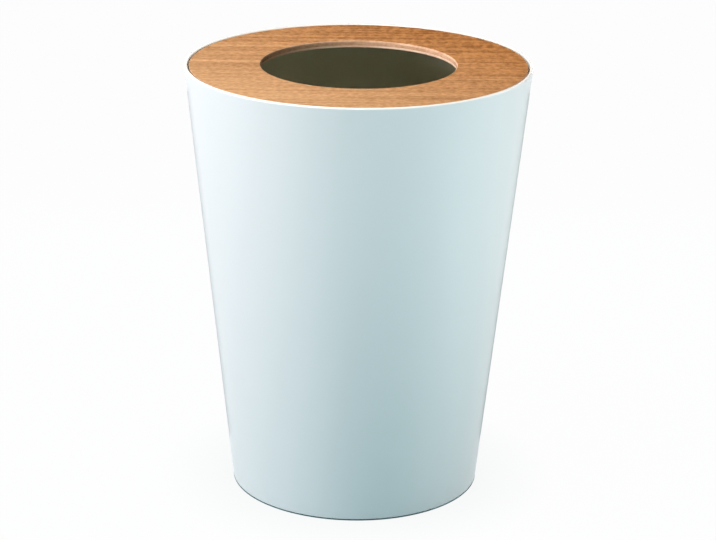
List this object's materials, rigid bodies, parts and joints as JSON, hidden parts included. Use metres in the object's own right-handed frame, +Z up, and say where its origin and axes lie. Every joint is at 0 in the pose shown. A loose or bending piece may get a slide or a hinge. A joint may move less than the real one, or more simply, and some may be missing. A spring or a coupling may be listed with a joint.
{
  "type": "waste bin",
  "caption": "Round tapered waste bin: a white coated steel body on pads, with a loose plywood ring lid that hides the bag and leaves a round mouth in the middle.",
  "frame": {"origin": "on the floor, under the centre of the bin", "axes": "+Z up along the axis of the bin; +X along the grain of the lid's face; -Y towards the front"},
  "size_m": [0.26, 0.26, 0.33],
  "materials": {
    "white_coat": "satin powder coat, white with a cool tint",
    "face_veneer": "straight-grained veneer under satin lacquer",
    "core_veneer": "cross-grained core, lacquered at its cut edges",
    "foot_rubber": "matt moulded rubber",
    "bumper_silicone": "milky silicone"
  },
  "bodies": {
    "bin": {"body_shell": "white_coat", "base_pan": "white_coat", "lid_seat_ring": "white_coat", "foot_pad_1": "foot_rubber", "foot_pad_2": "foot_rubber", "foot_pad_3": "foot_rubber", "foot_pad_4": "foot_rubber"},
    "lid": {"lid_face_ply": "face_veneer", "lid_core_ply": "core_veneer", "lid_back_ply": "face_veneer", "lid_bumper_1": "bumper_silicone", "lid_bumper_2": "bumper_silicone", "lid_bumper_3": "bumper_silicone", "lid_bumper_4": "bumper_silicone"}
  },
  "joints": [
    {"name": "lid_lift", "type": "slide", "parent": "bin", "child": "lid", "axis": [0, 0, 1], "range_m": [0, 0.12]}
  ]
}
